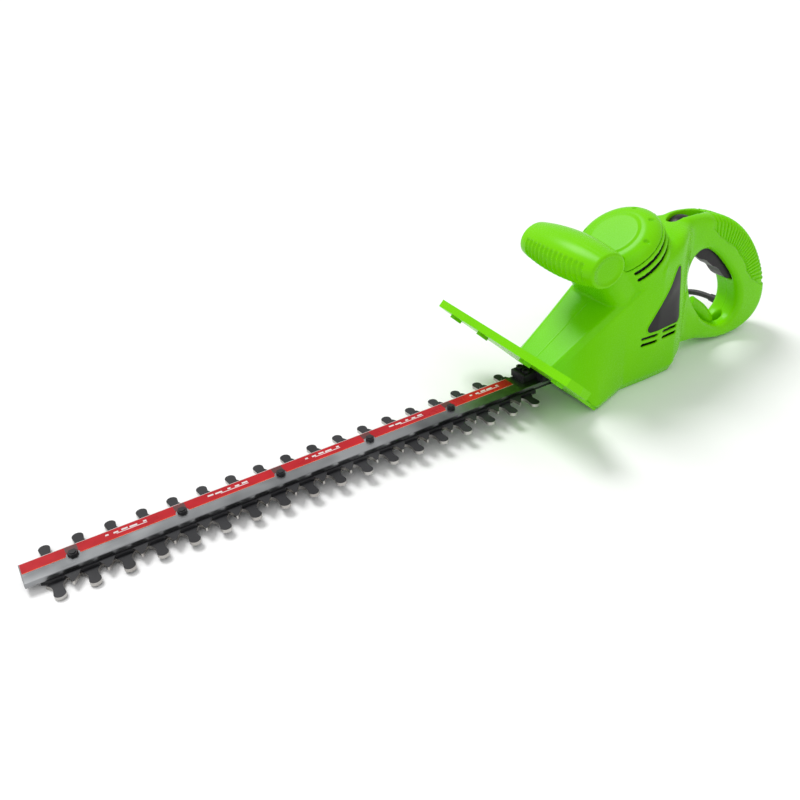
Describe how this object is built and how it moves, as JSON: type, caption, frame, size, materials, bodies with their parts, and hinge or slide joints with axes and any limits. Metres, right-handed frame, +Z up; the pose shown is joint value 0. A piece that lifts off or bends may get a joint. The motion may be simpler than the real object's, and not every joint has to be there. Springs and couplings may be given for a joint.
{
  "type": "corded hedge trimmer",
  "caption": "Electric hedge trimmer with a long double-sided toothed cutter, winged hand guard, barrel front grip, tilted motor tower and looped rear handle.",
  "frame": {"origin": "centre of the base box on the floor that the sole and the bar's tip rest on, cord left out", "axes": "+X forward along the cutter to the bar's tip, +Y to the tool's left, +Z up from the floor"},
  "size_m": [0.7786, 0.208, 0.1671],
  "materials": {
    "green_plastic": "satin lime green moulding",
    "black_plastic": "fine-grained black moulding",
    "trigger_plastic": "dark grey moulding",
    "dark_label": "smooth dark film",
    "red_label": "printed red film",
    "blade_steel": "black oxide with ground cutting edges",
    "bar_steel": "lengthwise brushed",
    "black_steel": "black oxide",
    "zinc_steel": "bright zinc",
    "lamination": "stacked laminations",
    "copper": "enamelled copper wire",
    "carbon": "pressed carbon",
    "bronze": "sintered bronze",
    "brass": "plain brass",
    "gearbox_metal": "as cast",
    "cord_rubber": "black flexible sheath"
  },
  "bodies": {
    "housing": {"housing_left": "green_plastic", "housing_right": "green_plastic", "tower_cap": "green_plastic", "grip_top": "green_plastic", "grip_under": "green_plastic", "hand_guard": "green_plastic", "cord_hook": "green_plastic", "bar_clamp": "black_steel", "clamp_screws": "black_steel", "support_bar": "bar_steel", "bar_label": "red_label", "bar_bolts": "black_steel", "bar_nuts": "black_steel", "blade_bushes": "zinc_steel", "side_label_left": "dark_label", "side_label_right": "dark_label", "gear_case": "gearbox_metal", "gear_cover": "gearbox_metal", "gearbox_screws": "zinc_steel", "gear_bushes": "bronze", "field_core": "lamination", "field_coils": "copper", "lower_bearing": "bronze", "upper_bearing": "bronze", "bearing_bridge": "gearbox_metal", "carbon_brushes": "carbon", "brush_holders": "brass", "trigger_pin": "zinc_steel", "trigger_spring": "zinc_steel", "switch_body": "black_plastic", "housing_screws": "black_steel", "strain_relief": "cord_rubber", "power_lead": "cord_rubber", "plug_body": "cord_rubber", "plug_blades": "brass"},
    "lower_blade": {"lower_blade": "blade_steel", "lower_teeth": "blade_steel"},
    "upper_blade": {"upper_blade": "blade_steel", "upper_teeth": "blade_steel"},
    "gear": {"drive_gear": "zinc_steel", "eccentrics": "zinc_steel"},
    "armature": {"armature_shaft": "zinc_steel", "armature_core": "lamination", "armature_windings": "copper", "commutator": "copper", "cooling_fan": "black_plastic", "pinion": "zinc_steel"},
    "trigger": {"trigger": "trigger_plastic"},
    "switch_plunger": {"switch_plunger": "black_plastic"},
    "lock_button": {"lock_button": "trigger_plastic"}
  },
  "joints": [
    {"name": "lower_blade_slide", "type": "slide", "parent": "housing", "child": "lower_blade", "axis": [0.9995, 0, -0.0329], "range_m": [-0.0055, 0.0055]},
    {"name": "upper_blade_slide", "type": "slide", "parent": "housing", "child": "upper_blade", "axis": [0.9995, 0, -0.0329], "range_m": [-0.0055, 0.0055]},
    {"name": "gear_spin", "type": "hinge", "parent": "housing", "child": "gear", "pos_m": [-0.16073, 0, 0.03102], "axis": [0.0329, 0, 0.9995], "continuous": true},
    {"name": "armature_spin", "type": "hinge", "parent": "housing", "child": "armature", "pos_m": [-0.18608, 0, 0.08188], "axis": [0.0329, 0, 0.9995], "continuous": true},
    {"name": "trigger_squeeze", "type": "hinge", "parent": "housing", "child": "trigger", "pos_m": [-0.28086, 0, 0.12051], "axis": [0, 1, 0], "range_deg": [0, 7], "stiffness_Nm_per_rad": 1.5, "springref_deg": -8.59},
    {"name": "plunger_press", "type": "slide", "parent": "housing", "child": "switch_plunger", "axis": [-0.7011, 0, 0.7131], "range_m": [0, 0.006]},
    {"name": "lock_slide", "type": "slide", "parent": "housing", "child": "lock_button", "axis": [-0.9995, 0, 0.0329], "range_m": [0, 0.006], "stiffness_N_per_m": 250, "springref_m": -0.004}
  ],
  "couplings": [
    {"joint": "upper_blade_slide", "follows": "lower_blade_slide", "ratio": -1},
    {"joint": "armature_spin", "follows": "gear_spin", "ratio": -5},
    {"joint": "plunger_press", "follows": "trigger_squeeze", "m_per_rad": 0.045}
  ]
}
